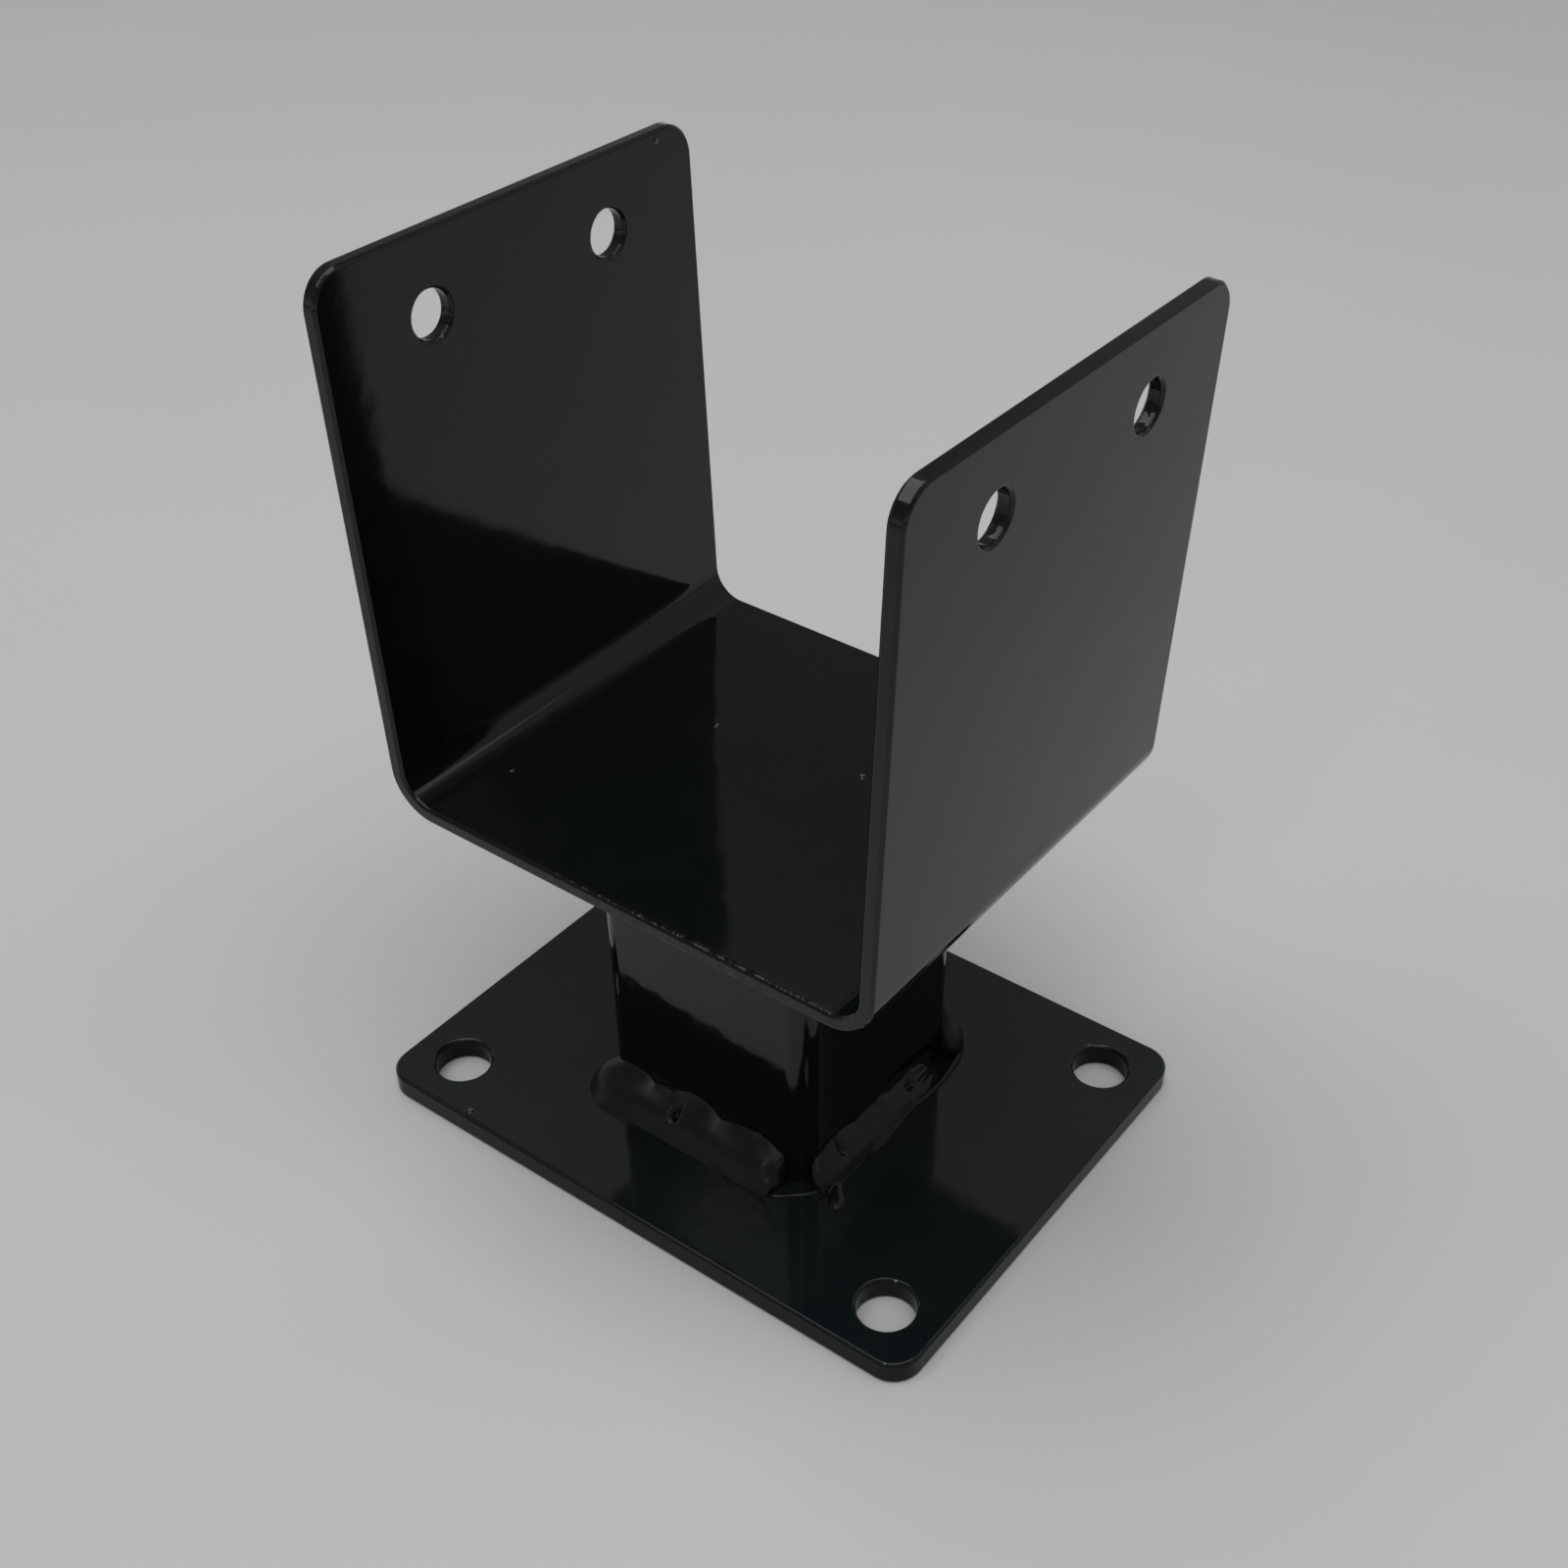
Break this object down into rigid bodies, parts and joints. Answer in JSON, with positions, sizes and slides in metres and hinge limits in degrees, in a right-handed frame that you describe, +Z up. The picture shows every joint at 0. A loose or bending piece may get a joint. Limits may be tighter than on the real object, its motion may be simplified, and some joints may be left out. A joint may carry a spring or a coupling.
{
  "type": "u bracket",
  "caption": "Welded steel U bracket: a folded saddle with drilled flanges on a short square tube above a drilled rectangular foot, coated gloss black.",
  "frame": {"origin": "centre of the foot's underside", "axes": "+Z up through the tube, X across the two flanges, Y along the fold lines of the saddle"},
  "size_m": [0.13, 0.1, 0.175],
  "materials": {
    "black_gloss_coat": "gloss black powder coat over smooth steel",
    "coated_weld": "gloss black powder coat over a lumpy weld bead"
  },
  "bodies": {
    "root": {"base_plate": "black_gloss_coat", "stub_tube": "black_gloss_coat", "u_saddle": "black_gloss_coat", "foot_weld_back": "coated_weld", "foot_weld_left": "coated_weld", "foot_weld_front": "coated_weld", "foot_weld_right": "coated_weld", "head_weld_back": "coated_weld", "head_weld_left": "coated_weld", "head_weld_front": "coated_weld", "head_weld_right": "coated_weld"}
  },
  "joints": []
}
